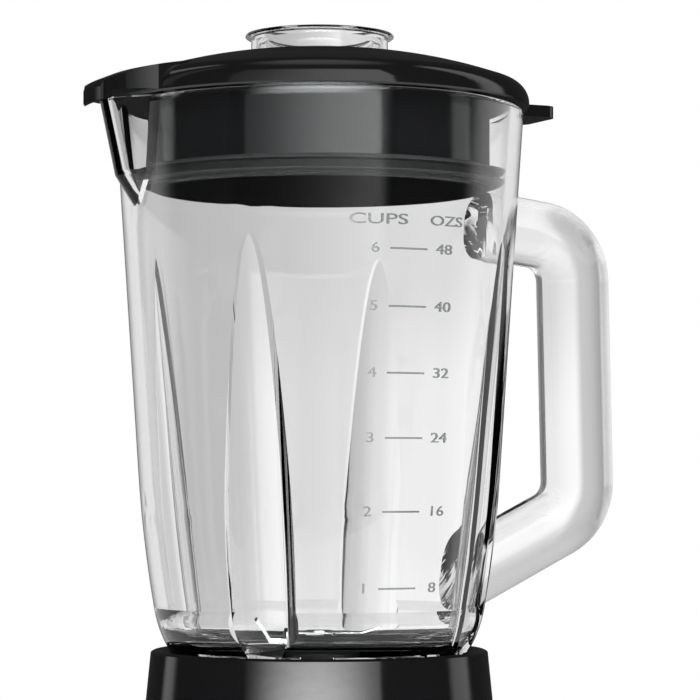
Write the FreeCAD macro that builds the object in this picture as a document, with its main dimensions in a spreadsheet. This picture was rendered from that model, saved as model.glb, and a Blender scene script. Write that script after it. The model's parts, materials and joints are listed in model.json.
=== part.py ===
import FreeCAD
import Part
import Sketcher
import math
import os

from FreeCAD import Placement, Rotation, Vector

# Countertop blender with a fluted glass jar.
# Millimetres.  +Z is up and the origin is on the jar axis, on the surface the feet stand on.
# The controls face -Y, the jar's handle points to +X and its spout to -X.

doc = FreeCAD.newDocument("countertop_blender")
sheet = doc.addObject("Spreadsheet::Sheet", "dims")

DRIVING = [
    # motor base
    ("foot_height", 3.0, "rubber feet under the bottom cover"),
    ("base_foot_r", 86.0, "radius of the base where it meets the feet"),
    ("base_top_r", 58.6, "radius of the base at its top edge"),
    ("base_top_z", 150.0, "height of the top edge"),
    ("flare_top_z", 29.0, "height where the straight cone turns into the flared foot"),
    ("flare_top_r", 70.5, "radius at that height"),
    ("base_wall", 3.0, "moulded wall of the housing"),
    ("well_r", 50.5, "well that the jar collar stands in"),
    ("well_floor_z", 96.0, "top of the well floor"),
    ("seat_z", 104.0, "top of the rubber ring that carries the collar"),
    ("shaft_hole_r", 9.0, "hole in the well floor for the motor shaft"),
    # control panel, in its own plane on the sloping front
    ("panel_z", 60.0, "height of the panel's centre"),
    ("panel_half_w", 22.0, "half width and end radius of the panel"),
    ("panel_half_len", 30.0, "half height of the panel"),
    ("panel_proud", 1.8, "how far the panel stands out at its middle"),
    ("panel_depth", 6.8, "how deep the panel reaches into the housing"),
    ("dial_y", 10.0, "dial centre above the panel's centre"),
    ("dial_radius", 15.5, "radius of the speed dial"),
    ("button_y", -18.0, "pulse button centre below the panel's centre"),
    ("button_r", 7.5, "radius of the pulse button"),
    ("button_travel", 2.5, "how far the pulse button goes in"),
    # motor
    ("stack_z", 48.0, "underside of the laminated stacks"),
    ("stack_len", 28.0, "length of the laminated stacks"),
    ("stator_len_x", 74.0, "stator across the poles"),
    ("stator_len_y", 62.0, "stator along the pole faces"),
    ("stator_bore_r", 22.5, "bore of the stator"),
    ("armature_r", 22.0, "armature, 0.5 clear of the stator"),
    ("shaft_r", 4.0, "motor shaft"),
    ("bearing_gap", 0.05, "radial running clearance of every bush"),
    ("commutator_r", 11.0, "commutator"),
    ("bolt_x", 31.0, "through bolts of the motor"),
    ("bolt_y", 24.5, "through bolts of the motor"),
    ("mount_ring_r", 42.0, "circle of the four motor mounts"),
    # drive
    ("star_r", 9.5, "tips of the drive star"),
    ("star_root_r", 6.8, "roots of the drive star"),
    ("star_top_z", 112.0, "top of the drive star"),
    ("socket_z", 103.0, "open end of the socket on the blade shaft"),
    # collar, blade unit and neck
    ("collar_r", 48.5, "outside of the threaded collar"),
    ("collar_top_z", 141.0, "top of the threaded collar"),
    ("lip_z", 118.0, "underside of the collar's inner lip"),
    ("flange_z", 121.5, "underside of the blade holder's flange"),
    ("gasket_z", 124.5, "underside of the gasket"),
    ("neck_z", 127.0, "lower end of the glass neck"),
    ("neck_r", 42.0, "outside of the glass neck"),
    ("neck_bore_r", 36.3, "bore of the glass neck"),
    ("thread_gap", 0.1, "clearance between the neck and the collar; the thread's form is left out"),
    ("hub_z", 149.5, "top of the blade holder"),
    # jar
    ("shoulder_z", 146.0, "underside of the glass shoulder"),
    ("jar_foot_r", 52.3, "glass where it leaves the base"),
    ("jar_foot_z", 151.0, "height of that place"),
    ("jar_heel_r", 57.4, "glass above the round heel"),
    ("jar_heel_z", 165.0, "height of that place"),
    ("jar_waist_r", 63.0, "glass where the straight wall starts"),
    ("jar_waist_z", 212.0, "height of that place"),
    ("jar_rim_r", 71.4, "glass at the rim"),
    ("jar_rim_z", 339.0, "height of the rim"),
    ("jar_wall", 4.5, "thickness of the glass wall"),
    ("flute_r", 14.0, "radius of the four pressed flutes"),
    ("flute_top_z", 288.0, "point of the flutes"),
    ("flute_lean", 7.23, "lean of the flutes, in degrees from the axis"),
    ("spout_tip_r", 81.8, "tip of the spout at the rim"),
    ("spout_bend_r", 76.0, "nose of the spout where its underside starts"),
    ("spout_bend_z", 313.0, "height of that place"),
    ("spout_low_r", 67.2, "lowest end of the nose line, inside the wall"),
    ("spout_low_z", 300.0, "height where the spout leaves the wall"),
    ("spout_half_angle", 50.0, "half angle of the spout in plan, in degrees"),
    # handle
    ("grip_r", 101.0, "middle of the grip at its upper corner"),
    ("grip_low_r", 103.2, "middle of the grip at its lower corner"),
    ("grip_top_z", 296.5, "upper corner of the handle's middle line"),
    ("grip_low_z", 198.5, "lower corner of the handle's middle line"),
    ("handle_root_r", 58.0, "where the handle's middle line ends, inside the wall"),
    ("handle_top_z", 302.0, "upper root"),
    ("handle_low_root_r", 46.0, "where the lower run ends, inside the wall"),
    ("handle_low_z", 170.8, "lower root"),
    ("handle_bend_r", 17.0, "bend radius of the handle's middle line"),
    ("handle_thick", 23.4, "handle section, radial"),
    ("handle_width", 26.0, "handle section, tangential"),
    # lid
    ("lid_under_z", 339.3, "underside of the lid's flange"),
    ("lid_r", 73.5, "outside of the lid"),
    ("lid_crease_r", 67.3, "where the dome meets the steep outer band"),
    ("lid_crease_z", 348.6, "height of that place"),
    ("lid_land_z", 357.8, "flat land round the opening"),
    ("lid_hole_r", 22.2, "opening for the measuring cap"),
    ("lid_wall", 2.5, "moulded wall of the lid"),
    ("plug_r", 59.5, "outside of the plug that goes into the jar"),
    ("plug_z", 310.3, "lower end of the plug"),
    ("spout_cover_r", 85.2, "tip of the cover over the spout"),
    ("spout_cover_half_w", 24.0, "half width of the cover at the lid"),
    ("tab_r", 88.5, "end of the lifting tab"),
    ("tab_half_w", 13.0, "half width of the lifting tab"),
    ("lip_reach", 0.35, "gap between the seal's lips and the glass"),
    # measuring cap
    ("cap_top_z", 365.5, "top of the measuring cap"),
    ("cap_flange_r", 26.0, "flange of the measuring cap"),
    ("cap_skirt_r", 24.0, "short outer skirt of the measuring cap"),
    ("cap_cup_r", 21.6, "cup of the measuring cap at its mouth"),
    ("cap_cup_low_r", 17.4, "cup of the measuring cap at its floor"),
    ("cap_low_z", 333.0, "underside of the measuring cap"),
    ("cap_wall", 1.6, "wall of the measuring cap"),
]


class Size:
    """A length that carries its value and the spreadsheet formula it comes from."""

    def __init__(self, value, formula):
        self.value = value
        self.formula = formula

    def join(self, other, sign, value):
        return Size(value, f"({self.formula} {sign} {formula_of(other)})")

    def __add__(self, other):
        return self.join(other, "+", self.value + value_of(other))

    def __sub__(self, other):
        return self.join(other, "-", self.value - value_of(other))

    def __mul__(self, other):
        return self.join(other, "*", self.value * value_of(other))

    def __truediv__(self, other):
        return self.join(other, "/", self.value / value_of(other))

    def __radd__(self, other):
        return Size(other + self.value, f"({formula_of(other)} + {self.formula})")

    def __rsub__(self, other):
        return Size(other - self.value, f"({formula_of(other)} - {self.formula})")

    def __rmul__(self, other):
        return Size(other * self.value, f"({formula_of(other)} * {self.formula})")

    def __neg__(self):
        return Size(-self.value, f"(0 - {self.formula})")


def value_of(size):
    return size.value if isinstance(size, Size) else float(size)


def formula_of(size):
    return size.formula if isinstance(size, Size) else f"({float(size):.6f})"


def fill_sheet():
    """Write every driving size into the sheet and return the sizes by name."""
    sizes = {}
    for row, (name, number, note) in enumerate(DRIVING, start=1):
        sheet.set(f"A{row}", str(number))
        sheet.setAlias(f"A{row}", name)
        sheet.set(f"B{row}", note)
        sizes[name] = Size(number, f"dims.{name}")
    doc.recompute()
    return sizes


S = fill_sheet()
SUBPARTS = {}


# ---------------------------------------------------------------- building blocks

def bind(obj, prop, size):
    setattr(obj, prop, value_of(size))
    if isinstance(size, Size):
        obj.setExpression(prop, size.formula)


def place(obj, x, y, z, rotation=None):
    obj.Placement = Placement(Vector(value_of(x), value_of(y), value_of(z)), rotation or Rotation())
    for axis, size in (("x", x), ("y", y), ("z", z)):
        if isinstance(size, Size):
            obj.setExpression(f"Placement.Base.{axis}", size.formula)


def cylinder(name, radius, height, z, x=0, y=0, rotation=None):
    obj = doc.addObject("Part::Cylinder", name)
    bind(obj, "Radius", radius)
    bind(obj, "Height", height)
    place(obj, x, y, z, rotation)
    return obj


def block(name, length, width, height, x, y, z, rotation=None):
    """A box; x, y and z place its corner."""
    obj = doc.addObject("Part::Box", name)
    bind(obj, "Length", length)
    bind(obj, "Width", width)
    bind(obj, "Height", height)
    place(obj, x, y, z, rotation)
    return obj


def spoke(name, start, length, width, height, z, angle):
    """A box lying along a radius at the given angle, from radius `start` outwards."""
    turn = Rotation(Vector(0, 0, 1), angle)
    corner = turn.multVec(Vector(value_of(start), -value_of(width) / 2, 0))
    return block(name, length, width, height, corner.x, corner.y, z, turn)


def combine(kind, name, parts):
    obj = doc.addObject(kind, name)
    obj.Shapes = parts
    return obj


def fuse(name, parts):
    return combine("Part::MultiFuse", name, parts)


def overlap(name, parts):
    return combine("Part::MultiCommon", name, parts)


def cut(name, base, tools):
    obj = doc.addObject("Part::Cut", name)
    obj.Base = base
    obj.Tool = tools[0] if len(tools) == 1 else fuse(name + "_tools", tools)
    return obj


def group(name, parts):
    obj = doc.addObject("Part::Compound", name)
    obj.Links = parts
    return obj


def tube(name, outer, inner, height, z, x=0, y=0, rotation=None):
    outside = cylinder(name + "_outside", outer, height, z, x, y, rotation)
    inside = cylinder(name + "_inside", inner, height, z, x, y, rotation)
    return cut(name, outside, [inside])


def around(count, start=0.0):
    """Angles of `count` places evenly round the axis."""
    return [start + 360.0 * place_number / count for place_number in range(count)]


def on_circle(radius, angle):
    return (radius * math.cos(math.radians(angle)), radius * math.sin(math.radians(angle)))


def origin_plane(body, role):
    return next(item for item in body.Origin.OriginFeatures if item.Role == role)


def add_outline(sketch, outline):
    """Draw a closed outline in a sketch and tie every corner to the sheet.

    A corner is (x, y) or (x, y, bend): bend is the radius of the arc to the next corner,
    positive when the arc turns left on its way.
    """
    count = len(outline)
    corners = [Vector(value_of(item[0]), value_of(item[1]), 0) for item in outline]
    for number, item in enumerate(outline):
        start, end = corners[number], corners[(number + 1) % count]
        if len(item) == 2:
            sketch.addGeometry(Part.LineSegment(start, end), False)
        else:
            bend = value_of(item[2])
            chord = end - start
            rise = abs(bend) - math.sqrt(bend * bend - chord.Length ** 2 / 4)
            side = Vector(chord.y, -chord.x, 0).normalize() * math.copysign(rise, bend)
            middle = (start + end) * 0.5 + side
            arc = Part.Arc(start, middle, end) if bend > 0 else Part.Arc(end, middle, start)
            sketch.addGeometry(arc, False)
    ends = []
    for number in range(count):
        edge = sketch.Geometry[number]
        begins = edge.StartPoint.distanceToPoint(corners[number]) < 1e-6
        ends.append((1, 2) if begins else (2, 1))
    for number in range(count):
        following = (number + 1) % count
        sketch.addConstraint(Sketcher.Constraint(
            "Coincident", number, ends[number][1], following, ends[following][0]))
    for number, item in enumerate(outline):
        first = ends[number][0]
        for kind, size in (("DistanceX", item[0]), ("DistanceY", item[1])):
            if kind == "DistanceX" and value_of(size) == 0:
                sketch.addConstraint(Sketcher.Constraint("PointOnObject", number, first, -2))
                continue
            tie = Sketcher.Constraint(kind, -1, 1, number, first, value_of(size))
            index = sketch.addConstraint(tie)
            if isinstance(size, Size):
                sketch.setExpression(f"Constraints[{index}]", size.formula)
        if len(item) == 3:
            tie = Sketcher.Constraint("Radius", number, abs(value_of(item[2])))
            sketch.addConstraint(tie)


def new_sketch(body, role="XZ_Plane", depth=0.0):
    sketch = body.newObject("Sketcher::SketchObject", body.Name + "_sketch")
    sketch.AttachmentSupport = (origin_plane(body, role), [""])
    sketch.MapMode = "FlatFace"
    if depth:
        sketch.AttachmentOffset = Placement(Vector(0, 0, depth), Rotation())
    return sketch


def turned(name, outline):
    """A body turned about the Z axis from an outline of (radius, height) corners."""
    body = doc.addObject("PartDesign::Body", name)
    sketch = new_sketch(body)
    add_outline(sketch, outline)
    doc.recompute()
    feature = body.newObject("PartDesign::Revolution", name + "_turn")
    feature.Profile = sketch
    feature.ReferenceAxis = (sketch, ["V_Axis"])
    feature.Angle = 360
    body.Tip = feature
    return body


def padded(name, outline, height, z):
    """A body raised from an outline in the XY plane, starting at height z."""
    body = doc.addObject("PartDesign::Body", name)
    sketch = new_sketch(body, "XY_Plane", value_of(z))
    if isinstance(z, Size):
        sketch.setExpression("AttachmentOffset.Base.z", z.formula)
    add_outline(sketch, outline)
    doc.recompute()
    feature = body.newObject("PartDesign::Pad", name + "_pad")
    feature.Profile = sketch
    bind(feature, "Length", height)
    body.Tip = feature
    return body


def subpart(label, obj):
    """Register a finished object as the sub-part that `label` names."""
    obj.Label = label
    SUBPARTS[label] = obj
    return obj


def own_shape(name, shape, placement=None):
    obj = doc.addObject("Part::Feature", name)
    obj.Shape = shape
    if placement:
        obj.Placement = placement.multiply(shape.Placement)
    return obj


# ---------------------------------------------------------------- motor base

SLOPE = math.degrees(math.atan2(
    S["flare_top_r"].value - S["base_top_r"].value, S["base_top_z"].value - S["flare_top_z"].value))


def cone_radius(z):
    """Outside radius of the straight part of the housing at height z."""
    share = (S["base_top_z"].value - z) / (S["base_top_z"].value - S["flare_top_z"].value)
    return S["base_top_r"].value + share * (S["flare_top_r"].value - S["base_top_r"].value)


# The panel's own plane: x to the right, y up the slope, z out of the housing.
PANEL = Placement(
    Vector(0, -cone_radius(S["panel_z"].value), S["panel_z"].value),
    Rotation(Vector(1, 0, 0), 90 - SLOPE))


def on_panel(obj):
    """Move an object drawn in the panel's plane to its place on the housing."""
    local = obj.Placement
    obj.Placement = PANEL.multiply(local)
    return obj


def stadium(name, half_width, half_length, height, z):
    """An upright slab with round ends, drawn in the panel's plane."""
    straight = half_length - half_width
    parts = [
        block(name + "_middle", half_width * 2, straight * 2, height, -half_width, -straight, z),
        cylinder(name + "_upper", half_width, height, z, 0, straight),
        cylinder(name + "_lower", half_width, height, z, 0, -straight),
    ]
    return fuse(name, parts)


def housing_shell():
    wall = S["base_wall"]
    foot_r, foot_z = S["base_foot_r"], S["foot_height"]
    well, floor = S["well_r"], S["well_floor_z"]
    top_r, top_z = S["base_top_r"], S["base_top_z"]
    outline = [
        (foot_r - wall, foot_z),
        (foot_r, foot_z),
        (foot_r, foot_z + 7.0, 3.0),
        (foot_r - 2.4, foot_z + 9.8, -24.0),
        (S["flare_top_r"], S["flare_top_z"]),
        (top_r, top_z, 2.4),
        (top_r - 1.8, top_z + 0.8),
        (well + 2.6, top_z - 1.4),
        (well, top_z - 6.0),
        (well, S["seat_z"] - 3.0),
        (well - 12.0, S["seat_z"] - 3.0),
        (well - 12.0, floor),
        (S["shaft_hole_r"], floor),
        (S["shaft_hole_r"], floor - wall),
        (well + wall, floor - wall),
        (well + wall, top_z - 7.0),
        (top_r - wall, top_z - 3.5),
        (S["flare_top_r"] - wall, S["flare_top_z"] - 1.5, 26.0),
        (foot_r - 5.4, foot_z + 8.6),
        (foot_r - wall, foot_z + 6.2),
    ]
    return turned("housing_shell", outline)


BOSS_R = 5.0
MOUNT_ANGLES = around(4)
COVER_SCREW_ANGLES = around(4)
COVER_SCREW_CIRCLE = 72.0
LUG_ANGLES = around(4, 45.0)
LUG_WIDTH = 7.0
GLAND_Z = 42.0
GLAND_R = 6.5
GLAND_FLANGE_R = 9.0
VENT_COUNT = 9


def gland_block(name):
    """The outside of the cord inlet: a sleeve through the wall and a flange outside it."""
    outward = Rotation(Vector(1, 0, 0), -90)
    surface = cone_radius(GLAND_Z)
    sleeve = cylinder(name + "_sleeve", GLAND_R, 14.0, GLAND_Z, 0, surface - 11.0, outward)
    flange = cylinder(name + "_flange", GLAND_FLANGE_R, 3.2, GLAND_Z, 0, surface - 0.9, outward)
    return fuse(name, [sleeve, flange])


def make_housing():
    floor_under = S["well_floor_z"] - S["base_wall"]
    additions = [housing_shell()]
    removals = []
    for number, angle in enumerate(MOUNT_ANGLES):
        x, y = on_circle(S["mount_ring_r"].value, angle)
        additions.append(cylinder(f"mount_boss_{number}", BOSS_R, 5.0, floor_under - 5.0, x, y))
        removals.append(cylinder(f"mount_pilot_{number}", 2.0, 6.5, floor_under - 5.0, x, y))
    for number, angle in enumerate(COVER_SCREW_ANGLES):
        x, y = on_circle(COVER_SCREW_CIRCLE, angle)
        additions.append(cylinder(f"cover_boss_{number}", 4.5, 11.4, 5.6, x, y))
        removals.append(cylinder(f"cover_pilot_{number}", 1.5, 9.0, 5.6, x, y))
    for number, angle in enumerate(LUG_ANGLES):
        lug_start = S["well_r"].value - 3.3
        additions.append(spoke(f"well_lug_{number}", lug_start, 4.3, LUG_WIDTH, 12.0,
                               S["seat_z"] - 3.0, angle))
    whole = fuse("housing_blank", additions)
    opening = stadium("panel_opening", S["panel_half_w"], S["panel_half_len"], 20.0, -10.0)
    removals.append(on_panel(opening))
    removals.append(gland_block("gland_opening"))
    for number in range(VENT_COUNT):
        angle = 90.0 + (number - (VENT_COUNT - 1) / 2) * 6.0
        removals.append(spoke(f"vent_{number}", 50.0, 30.0, 3.0, 22.0, 62.0, angle))
    return subpart("base_housing", cut("housing_cut", whole, removals))


def make_bottom_cover():
    """Round plate with cooling slots, screwed up into the housing."""
    plate_z = S["foot_height"]
    plate = cylinder("cover_plate", S["base_foot_r"] - S["base_wall"] - 0.3, 2.6, plate_z)
    slots = []
    for ring, radius in enumerate((14.0, 30.0, 46.0)):
        for number, angle in enumerate(around(6 + 6 * ring, 15.0)):
            slots.append(spoke(f"slot_{ring}_{number}", radius, 11.0, 3.0, 6.0, plate_z - 1.0, angle))
    for number, angle in enumerate(COVER_SCREW_ANGLES):
        x, y = on_circle(COVER_SCREW_CIRCLE, angle)
        slots.append(cylinder(f"cover_hole_{number}", 1.5, 6.0, plate_z - 1.0, x, y))
        slots.append(cylinder(f"cover_sink_{number}", 3.2, 2.2, plate_z - 1.0, x, y))
    return subpart("bottom_cover", cut("cover_cut", plate, slots))


def make_feet():
    """Four rubber feet near the edge and one under the motor, each narrower at its lower edge."""
    feet = []
    places = [(0.0, 0.0)] + [on_circle(66.0, angle) for angle in around(4, 45.0)]
    for number, (x, y) in enumerate(places):
        foot = doc.addObject("Part::Cone", f"foot_lower_{number}")
        foot.Radius1, foot.Radius2, foot.Height = 8.2, 9.0, 0.8
        place(foot, x, y, 0)
        upper = cylinder(f"foot_upper_{number}", 9.0, S["foot_height"] - 0.8, 0.8, x, y)
        feet.append(fuse(f"foot_{number}", [foot, upper]))
    return subpart("rubber_feet", group("feet", feet))


def screw(name, shank_r, head_r, head_h, length, x, y, z, recess=1.4):
    """A cross-head screw pointing up, its head's underside at height z."""
    head = cylinder(name + "_head", head_r, head_h, z - head_h, x, y)
    shank = cylinder(name + "_shank", shank_r, length, z, x, y)
    wide, thin = head_r * 1.1, head_r * 0.24
    cross = [
        block(name + "_slot_a", wide, thin, recess, x - wide / 2, y - thin / 2, z - head_h - 0.4),
        block(name + "_slot_b", thin, wide, recess, x - thin / 2, y - wide / 2, z - head_h - 0.4),
    ]
    return cut(name, fuse(name + "_solid", [head, shank]), cross)


def make_cover_screws():
    screws = []
    for number, angle in enumerate(COVER_SCREW_ANGLES):
        x, y = on_circle(COVER_SCREW_CIRCLE, angle)
        screws.append(screw(f"cover_screw_{number}", 1.5, 3.1, 1.0, 9.0, x, y, 4.2, 1.0))
    return subpart("cover_screws", group("cover_screw_set", screws))


def make_seat_ring():
    """Rubber ring that the collar stands on."""
    ring = tube("seat_ring", S["well_r"] - 0.3, S["well_r"] - 11.5, 3.0, S["seat_z"] - 3.0)
    gaps = []
    for number, angle in enumerate(LUG_ANGLES):
        gaps.append(spoke(f"seat_gap_{number}", 46.9, 6.0, LUG_WIDTH + 0.6, 5.0,
                          S["seat_z"] - 4.0, angle))
    return subpart("jar_seat_ring", cut("seat_ring_cut", ring, gaps))


def make_gland():
    outward = Rotation(Vector(1, 0, 0), -90)
    bore = cylinder("gland_bore", 3.8, 20.0, GLAND_Z, 0, cone_radius(GLAND_Z) - 14.0, outward)
    return subpart("cord_gland", cut("gland_cut", gland_block("gland"), [bore]))


# ---------------------------------------------------------------- controls

def make_panel():
    """Front plate with a short skirt that fills the opening in the housing."""
    depth, proud = S["panel_depth"], S["panel_proud"]
    plug = stadium("panel_plug", S["panel_half_w"], S["panel_half_len"], depth + proud, -depth)
    hollow = stadium("panel_hollow", S["panel_half_w"] - 2.0, S["panel_half_len"] - 2.0, depth, -depth - 0.6)
    stem_hole = cylinder("panel_stem_hole", 3.4, 10.0, -5.0, 0, S["dial_y"])
    button_hole = cylinder("panel_button_hole", S["button_r"] + 0.25, 10.0, -5.0, 0, S["button_y"])
    plate = cut("panel_cut", plug, [hollow, stem_hole, button_hole])
    return subpart("control_panel", on_panel(plate))


DIAL_GAP = 0.4
STEM_R = 3.0
SWITCH_TOP = -3.4
BUTTON_FLANGE_TOP = -1.0


def make_dial():
    """Round knob with a straight grip bar across it."""
    face = S["panel_proud"] + DIAL_GAP
    radius = S["dial_radius"]
    skirt = cylinder("dial_skirt", radius, 3.0, face, 0, S["dial_y"])
    crown = doc.addObject("Part::Cone", "dial_crown")
    bind(crown, "Radius1", radius)
    bind(crown, "Radius2", radius - 1.2)
    crown.Height = 1.2
    place(crown, 0, S["dial_y"], face + 3.0)
    bar = block("dial_bar", 8.0, radius * 1.9, 8.6, -4.0, S["dial_y"] - radius * 0.95, face + 4.0)
    trim = cylinder("dial_bar_trim", radius - 0.8, 20.0, face, 0, S["dial_y"])
    rounded = doc.addObject("Part::Fillet", "dial_bar_round")
    doc.recompute()
    grip = overlap("dial_grip", [bar, trim])
    doc.recompute()
    rounded.Base = grip
    top_edges = [number for number, edge in enumerate(grip.Shape.Edges, start=1)
                 if edge.CenterOfMass.z > value_of(face) + 12.0]
    rounded.Edges = [(number, 1.2, 1.2) for number in top_edges]
    socket = cylinder("dial_socket", STEM_R, 6.0, face - 1.0, 0, S["dial_y"])
    knob = cut("dial_knob", fuse("dial_solid", [skirt, crown, rounded]), [socket])
    return subpart("speed_dial", on_panel(knob))


def make_spindle():
    face = S["panel_proud"] + DIAL_GAP
    low = SWITCH_TOP - 8.0
    stem = cylinder("spindle_stem", STEM_R, face + 5.0 - low, low, 0, S["dial_y"])
    shoulder = cylinder("spindle_shoulder", STEM_R + 0.3, 1.0, SWITCH_TOP + 0.6, 0, S["dial_y"])
    return subpart("switch_spindle", on_panel(fuse("spindle", [stem, shoulder])))


def make_speed_switch():
    """Rotary speed switch behind the panel, open in the middle for the spindle."""
    bore = cylinder("switch_bore", STEM_R + S["bearing_gap"], 9.0, SWITCH_TOP - 8.5, 0, S["dial_y"])
    case = block("switch_case", 26.0, 24.0, 12.0, -13.0, S["dial_y"] - 12.0, SWITCH_TOP - 13.0)
    neck = cylinder("switch_neck", 5.5, 1.6, SWITCH_TOP - 1.2, 0, S["dial_y"])
    pin_y, pin_z = S["dial_y"] - 5.0, SWITCH_TOP - 17.5
    pins = [block(f"switch_pin_{number}", 0.8, 3.0, 5.0, -9.0 + number * 6.0, pin_y, pin_z)
            for number in range(4)]
    solid = fuse("switch_solid", [case, neck] + pins)
    return subpart("speed_switch", on_panel(cut("switch_cut", solid, [bore])))


PULSE_SPRING_LENGTH = 6.6
PULSE_SWITCH_TOP = BUTTON_FLANGE_TOP - 1.5 - PULSE_SPRING_LENGTH - 0.2
PLUNGER_HEIGHT = 0.8
PLUNGER_TOP = PULSE_SWITCH_TOP + PLUNGER_HEIGHT


def make_button():
    """Push button with a retaining flange, its stem just short of the switch when pressed in."""
    top = S["panel_proud"] + 3.2
    y = S["button_y"]
    cap = cylinder("button_cap", S["button_r"], top - BUTTON_FLANGE_TOP + 1.5, BUTTON_FLANGE_TOP - 1.5, 0, y)
    rounded = doc.addObject("Part::Fillet", "button_round")
    doc.recompute()
    rounded.Base = cap
    rims = [number for number, edge in enumerate(cap.Shape.Edges, start=1)
            if edge.CenterOfMass.z > value_of(top) - 0.1 and edge.Closed]
    rounded.Edges = [(number, 1.0, 1.0) for number in rims]
    flange = cylinder("button_flange", S["button_r"] + 1.8, 1.2, BUTTON_FLANGE_TOP - 1.5, 0, y)
    stem_low = S["button_travel"] + (PLUNGER_TOP + 0.1)
    stem = cylinder("button_stem", 1.6, BUTTON_FLANGE_TOP - 1.5 - stem_low, stem_low, 0, y)
    return subpart("pulse_button", on_panel(fuse("button_solid", [rounded, flange, stem])))


def coil_spring(name, radius, wire_r, length, turns):
    """A round-wire coil along +Z, its ends at the given length."""
    pitch = (length - 2 * wire_r) / turns
    path = Part.makeHelix(pitch, pitch * turns, radius)
    start = Vector(radius, 0, 0)
    section = Part.Wire([Part.makeCircle(wire_r, start, Vector(0, 1, pitch / (2 * math.pi * radius)))])
    coil = Part.Wire(path.Edges).makePipeShell([section], True, True)
    coil.translate(Vector(0, 0, wire_r))
    return coil


def make_pulse_spring():
    shape = coil_spring("pulse", 3.4, 0.35, PULSE_SPRING_LENGTH, 5)
    local = Placement(Vector(0, S["button_y"].value, PULSE_SWITCH_TOP + 0.1), Rotation())
    return subpart("pulse_spring", own_shape("pulse_coil", shape, PANEL.multiply(local)))


def make_pulse_switch():
    y = S["button_y"]
    case = block("pulse_case", 13.0, 16.0, 8.0, -6.5, y - 8.0, PULSE_SWITCH_TOP - 8.0)
    plunger = cylinder("pulse_plunger", 1.5, PLUNGER_HEIGHT + 0.2, PULSE_SWITCH_TOP - 0.2, 0, y)
    return subpart("pulse_switch", on_panel(fuse("pulse_solid", [case, plunger])))


# ---------------------------------------------------------------- motor

UPPER_BRACKET_Z = 82.0
LOWER_BRACKET_Z = 20.0
BRACKET_THICK = 3.0
GROMMET_Z = UPPER_BRACKET_Z + BRACKET_THICK
GROMMET_HEIGHT = 3.0
COIL_OVERHANG = 5.0
BUSH_R = 8.0


def bolt_places():
    return [(sx * S["bolt_x"].value, sy * S["bolt_y"].value) for sx in (-1, 1) for sy in (-1, 1)]


def make_stator():
    """Laminated stack with two pole shoes and the slots of its two coils."""
    length, z = S["stack_len"], S["stack_z"]
    slab = block("stator_slab", S["stator_len_x"], S["stator_len_y"], length, -37.0, -31.0, z)
    corner_round = cylinder("stator_round", 43.5, length, z)
    removals = [cylinder("stator_bore", S["stator_bore_r"], length + 2, z - 1)]
    for sx in (-1, 1):
        for sy in (-1, 1):
            corner_x = 25.0 if sx > 0 else -31.0
            corner_y = 10.0 if sy > 0 else -15.2
            name = f"coil_slot_{sx + 1}{sy + 1}"
            removals.append(block(name, 6.0, 5.2, length + 2, corner_x, corner_y, z - 1))
    for number, (x, y) in enumerate(bolt_places()):
        removals.append(cylinder(f"stator_hole_{number}", 2.1, length + 2, z - 1, x, y))
    return subpart("stator_core", cut("stator_cut", overlap("stator_blank", [slab, corner_round]), removals))


def make_field_windings():
    z, length = S["stack_z"], S["stack_len"]
    coils = []
    for number, corner_x in enumerate((25.1, -30.9)):
        outer = block(f"coil_outer_{number}", 5.8, 30.0, length + 2 * COIL_OVERHANG, corner_x, -15.0,
                      z - COIL_OVERHANG)
        inner = block(f"coil_inner_{number}", 8.0, 20.2, length + 0.2, corner_x - 1.0, -10.1, z - 0.1)
        coils.append(cut(f"coil_{number}", outer, [inner]))
    return subpart("field_windings", group("field_coils", coils))


def make_upper_bracket():
    """Cross-shaped bridge with the upper bush seat and four mounting ears."""
    z = UPPER_BRACKET_Z
    ring = S["mount_ring_r"].value
    plates = [
        block("upper_plate", 70.0, 57.0, BRACKET_THICK, -35.0, -28.5, z),
        block("upper_ears_x", 2 * ring + 12.0, 13.0, BRACKET_THICK, -ring - 6.0, -6.5, z),
        block("upper_ears_y", 13.0, 2 * ring + 12.0, BRACKET_THICK, -6.5, -ring - 6.0, z),
        cylinder("upper_boss", 12.0, 8.0, z),
    ]
    for number, (x, y) in enumerate(bolt_places()):
        plates.append(cylinder(f"upper_post_{number}", 4.2, 6.0, z - 6.0, x, y))
    removals = [cylinder("upper_seat", BUSH_R, 10.0, z - 1.0)]
    for number, (x, y) in enumerate(bolt_places()):
        removals.append(cylinder(f"upper_bolt_hole_{number}", 2.0, 12.0, z - 7.0, x, y))
    for number, angle in enumerate(MOUNT_ANGLES):
        x, y = on_circle(ring, angle)
        removals.append(cylinder(f"upper_ear_hole_{number}", 2.0, 6.0, z - 1.0, x, y))
    for number, (sx, sy) in enumerate(((1, 1), (1, -1), (-1, 1), (-1, -1))):
        corner_x, corner_y = sx * 18.0 - 5.0, sy * 17.0 - 4.5
        removals.append(block(f"upper_window_{number}", 10.0, 9.0, 6.0, corner_x, corner_y, z - 1.0))
    return subpart("upper_bracket", cut("upper_bracket_cut", fuse("upper_bracket_blank", plates), removals))


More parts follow.
